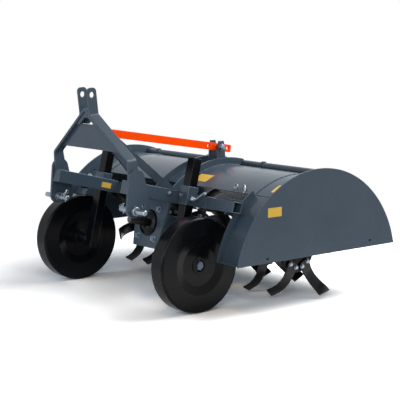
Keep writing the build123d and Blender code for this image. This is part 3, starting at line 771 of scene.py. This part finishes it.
for name, x, first in ROTOR_FLANGES:
    out = 1 if x > 0 else -1
    middle = x + out * (FLANGE_T + TINE_T) / 2
    blades, fixings = [], []
    for i in range(TINE_COUNT):
        turn = first + i * 360 / TINE_COUNT
        blades.append(moved(blade(1 if i % 2 == 0 else -1), on_rotor(middle, turn)))
        for step in (-SCREW_STEP, SCREW_STEP):
            spot = on_rotor(0, turn + step) @ Vector((0, 0, -BOLT_RING * MM))
            head = spot + X_AXIS * (middle + out * TINE_T / 2) * MM
            nut = spot + X_AXIS * (x - out * FLANGE_T / 2) * MM
            fixings.append(moved(bolt_head(TINE_SCREW), facing(head, X_AXIS * out, turn=7 * i)))
            fixings.append(moved(bolt_nut(TINE_SCREW), facing(nut, -X_AXIS * out, turn=11 * i)))
    row = piece(name.replace("tines", "blades"), "tine_steel", "rotor", blades, 40)
    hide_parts(name)
    piece(name.replace("tines", "tine_bolts"), "zinc", "rotor", fixings)

# ---- blank yellow plates and the two shackles ----------------------------------------

HOOD_Y, HOOD_Z, HOOD_R = 137, 116, 432          # middle and radius of every hood arc
FILM_LOW, FILM_TOP = 0.02, 0.7
HOOD_PLATES = ((84, 174, 111, 118.6), (604, 664, 111.2, 118.8))     # x, x, degrees, degrees
END_PLATE_FACE = 688
SHACKLE_LEAN = (0, -0.48, 0.87)


def hood_patch(x0, x1, a0, a1, steps=10):
    """Film laid on the hood between two x and two angles up from the rear."""
    verts, faces = [], []
    for level in (FILM_LOW, FILM_TOP):
        for k in range(steps + 1):
            a = radians(a0 + (a1 - a0) * k / steps)
            for x in (x0, x1):
                verts.append(tuple(at(x, HOOD_Y + (HOOD_R + level) * cos(a),
                                      HOOD_Z + (HOOD_R + level) * sin(a))))
    top = 2 * (steps + 1)
    for k in range(steps):
        a, b = 2 * k, 2 * k + 2
        faces.append((a, a + 1, b + 1, b))
        faces.append((top + a, top + b, top + b + 1, top + a + 1))
        faces.append((a, b, top + b, top + a))
        faces.append((a + 1, top + a + 1, top + b + 1, b + 1))
    for a in (0, 2 * steps):
        faces.append((a, top + a, top + a + 1, a + 1))
    return verts, faces


piece("hood_labels", "label_yellow", "frame", [hood_patch(*plate) for plate in HOOD_PLATES])
piece("end_plate_label", "label_yellow", "frame",
      [moved(slab(rounded(76, 39, 2.5), 0.2, 0.1),
             facing(at(END_PLATE_FACE, -123, 425.5), X_AXIS, (0, 1, 0)))])
piece("arm_label", "label_yellow", "frame",
      [moved(slab(rounded(52, 24, 2), 0.7, 0.2),
             facing(tilted(-238, -34, 260), X_AXIS, REARWARD))])

ring = []
for i in range(RING_STEPS):
    a = 2 * pi * i / RING_STEPS
    ring.append(at(392 + 11 * cos(a), -80 + 3 * sin(a), 497 + 11 * sin(a)))
hook = [at(428, -70, 500), at(436, -72, 508), at(448, -78, 508), at(459, -86, 499),
        at(465, -94, 486), at(466, -99, 478)]
piece("hood_shackles", "zinc", "frame",
      [tube(ring, 2.6, 10, closed=True),
       moved(bolt_head(8), facing(at(392, -82, 488), SHACKLE_LEAN)),
       tube(divided(hook, 0.004), 3.6, 12),
       moved(bolt_head(8), facing(at(427, -68, 495), SHACKLE_LEAN))])

# ---- welds --------------------------------------------------------------------------------

WELD_RADIUS = HOOD_R + 1            # of the beads on the hood
HOOD_FRONT, HOOD_BACK = 122, 77     # degrees, between the lip and the rear tube
HOOD_STEPS = 30
CENTRE_RIB, END_RIB = (60, 8), (541, 6)     # x, thickness
SLEEVE_HALF = 28
ARM_INNER = 238
BEAM_TOP = 287
END_TUBE_X, END_TUBE_MIDDLE, END_TUBE_SIZE = 414, (50, 262), 48
PLATE_WELD_HALF = 119
ROTOR_TUBE = 40
FLANGE_STEPS = 48


def bead(points, radius=2.6, step=5, closed=False):
    """Weld bead along points in metres, its ripples a step apart."""
    return tube(points, radius, 8, 0.13, step, closed)


def hood_bead(x):
    """Weld bead across the hood beside a rib."""
    turns = [radians(HOOD_BACK + (HOOD_FRONT - HOOD_BACK) * i / HOOD_STEPS)
             for i in range(HOOD_STEPS + 1)]
    return bead([at(x, HOOD_Y + WELD_RADIUS * cos(t), HOOD_Z + WELD_RADIUS * sin(t))
                 for t in turns], 2.2)


for name, side in SIDES:
    beads = []
    for x in (POST_X - SLEEVE_HALF, POST_X + SLEEVE_HALF, ARM_INNER):
        beads.append(bead([tilted(side * x, BEAM_FRONT, BEAM_LOW + 1),
                           tilted(side * x, BEAM_FRONT, BEAM_TOP - 1)], 3))
    y, z = END_TUBE_MIDDLE
    loop = [tilted(side * END_TUBE_X, y + u, z + v)
            for u, v in rounded(END_TUBE_SIZE, END_TUBE_SIZE, 4)]
    beads.append(bead(loop, closed=True))
    piece(f"{name}_beam_welds", "blue_grey_paint", "frame", beads)
    rib_x, thick = END_RIB
    centre_x, centre_thick = CENTRE_RIB
    piece(f"{name}_rib_welds", "blue_grey_paint", "frame",
          [hood_bead(side * (rib_x - thick / 2)), hood_bead(side * (centre_x + centre_thick / 2)),
           hood_bead(side * (centre_x - centre_thick / 2))])

piece("gearbox_plate_weld", "blue_grey_paint", "frame",
      [bead([tilted(x, PLATE_FRONT, BEAM_LOW) for x in (-PLATE_WELD_HALF, PLATE_WELD_HALF)], 3)])

turns = [2 * pi * i / FLANGE_STEPS for i in range(FLANGE_STEPS)]
for name, flange, _ in ROTOR_FLANGES:
    rings = []
    for face in (-FLANGE_T / 2, FLANGE_T / 2):
        rings.append(bead([ROTOR + at(flange + face, ROTOR_TUBE * cos(t), ROTOR_TUBE * sin(t))
                           for t in turns], 3, 6, True))
    piece(name.replace("tines", "flange_welds"), "black_paint", "rotor", rings)
